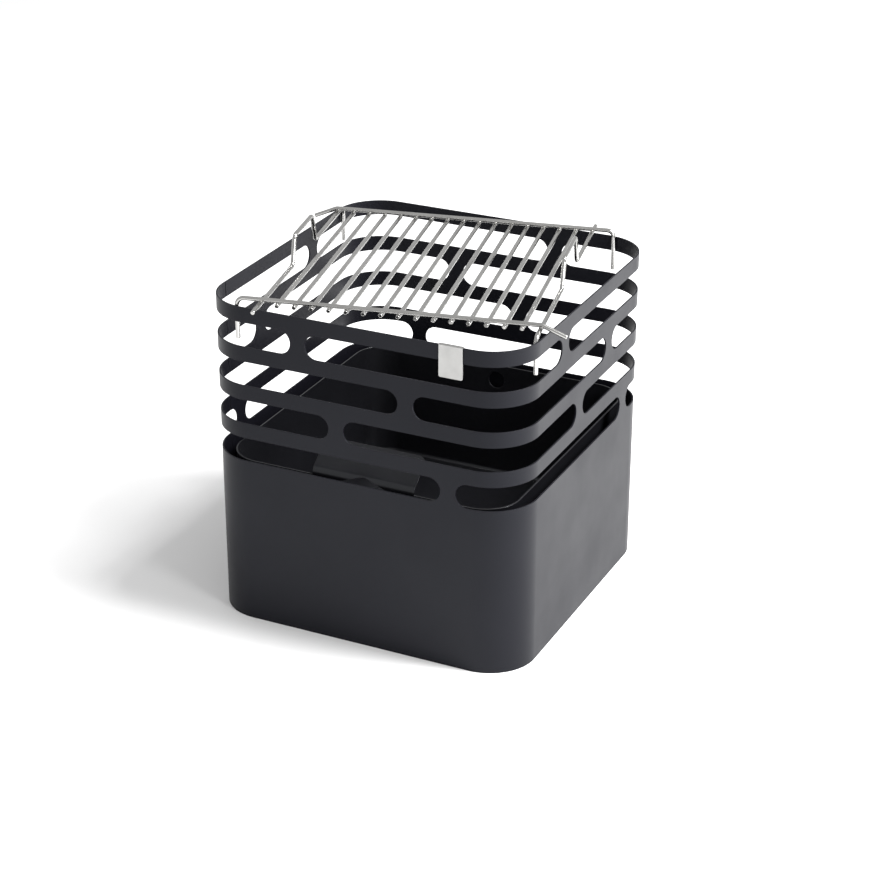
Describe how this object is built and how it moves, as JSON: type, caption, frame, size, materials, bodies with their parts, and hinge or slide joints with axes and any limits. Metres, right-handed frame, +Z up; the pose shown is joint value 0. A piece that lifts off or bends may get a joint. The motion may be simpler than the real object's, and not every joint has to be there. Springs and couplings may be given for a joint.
{
  "type": "fire pit",
  "caption": "Square slotted steel fire basket with a loose box-shaped bowl and a lift-off round-bar cooking grate.",
  "frame": {"origin": "centre of the casing's footprint, on the ground", "axes": "+Z up, -Y towards the front face with the name plate, +X to the right seen from the front"},
  "size_m": [0.4624, 0.4552, 0.4618],
  "materials": {
    "powder_coat": "matt fine-textured anthracite powder coat",
    "bowl_steel": "matt black heat-resistant coat",
    "stainless": "bright drawn stainless round bar",
    "satin_plate": "satin stainless sheet, blank"
  },
  "bodies": {
    "casing": {"casing_shell": "powder_coat", "name_plate": "satin_plate", "bowl_ledge_front": "powder_coat", "bowl_ledge_right": "powder_coat", "bowl_ledge_back": "powder_coat", "bowl_ledge_left": "powder_coat"},
    "bowl": {"bowl_box": "bowl_steel"},
    "grate": {"grate_long_bar_front": "stainless", "grate_long_bar_back": "stainless", "grate_handle_bar_left": "stainless", "grate_handle_bar_right": "stainless", "grate_cross_bar_01": "stainless", "grate_cross_bar_02": "stainless", "grate_cross_bar_03": "stainless", "grate_cross_bar_04": "stainless", "grate_cross_bar_05": "stainless", "grate_cross_bar_06": "stainless", "grate_cross_bar_07": "stainless", "grate_cross_bar_08": "stainless", "grate_cross_bar_09": "stainless", "grate_cross_bar_10": "stainless", "grate_cross_bar_11": "stainless", "grate_cross_bar_12": "stainless", "grate_cross_bar_13": "stainless", "grate_cross_bar_14": "stainless", "grate_cross_bar_15": "stainless"}
  },
  "joints": [
    {"name": "grate_lift", "type": "slide", "parent": "casing", "child": "grate", "axis": [0, 0, 1], "range_m": [0, 0.2]},
    {"name": "bowl_lift", "type": "slide", "parent": "casing", "child": "bowl", "axis": [0, 0, 1], "range_m": [0, 0.15]}
  ]
}
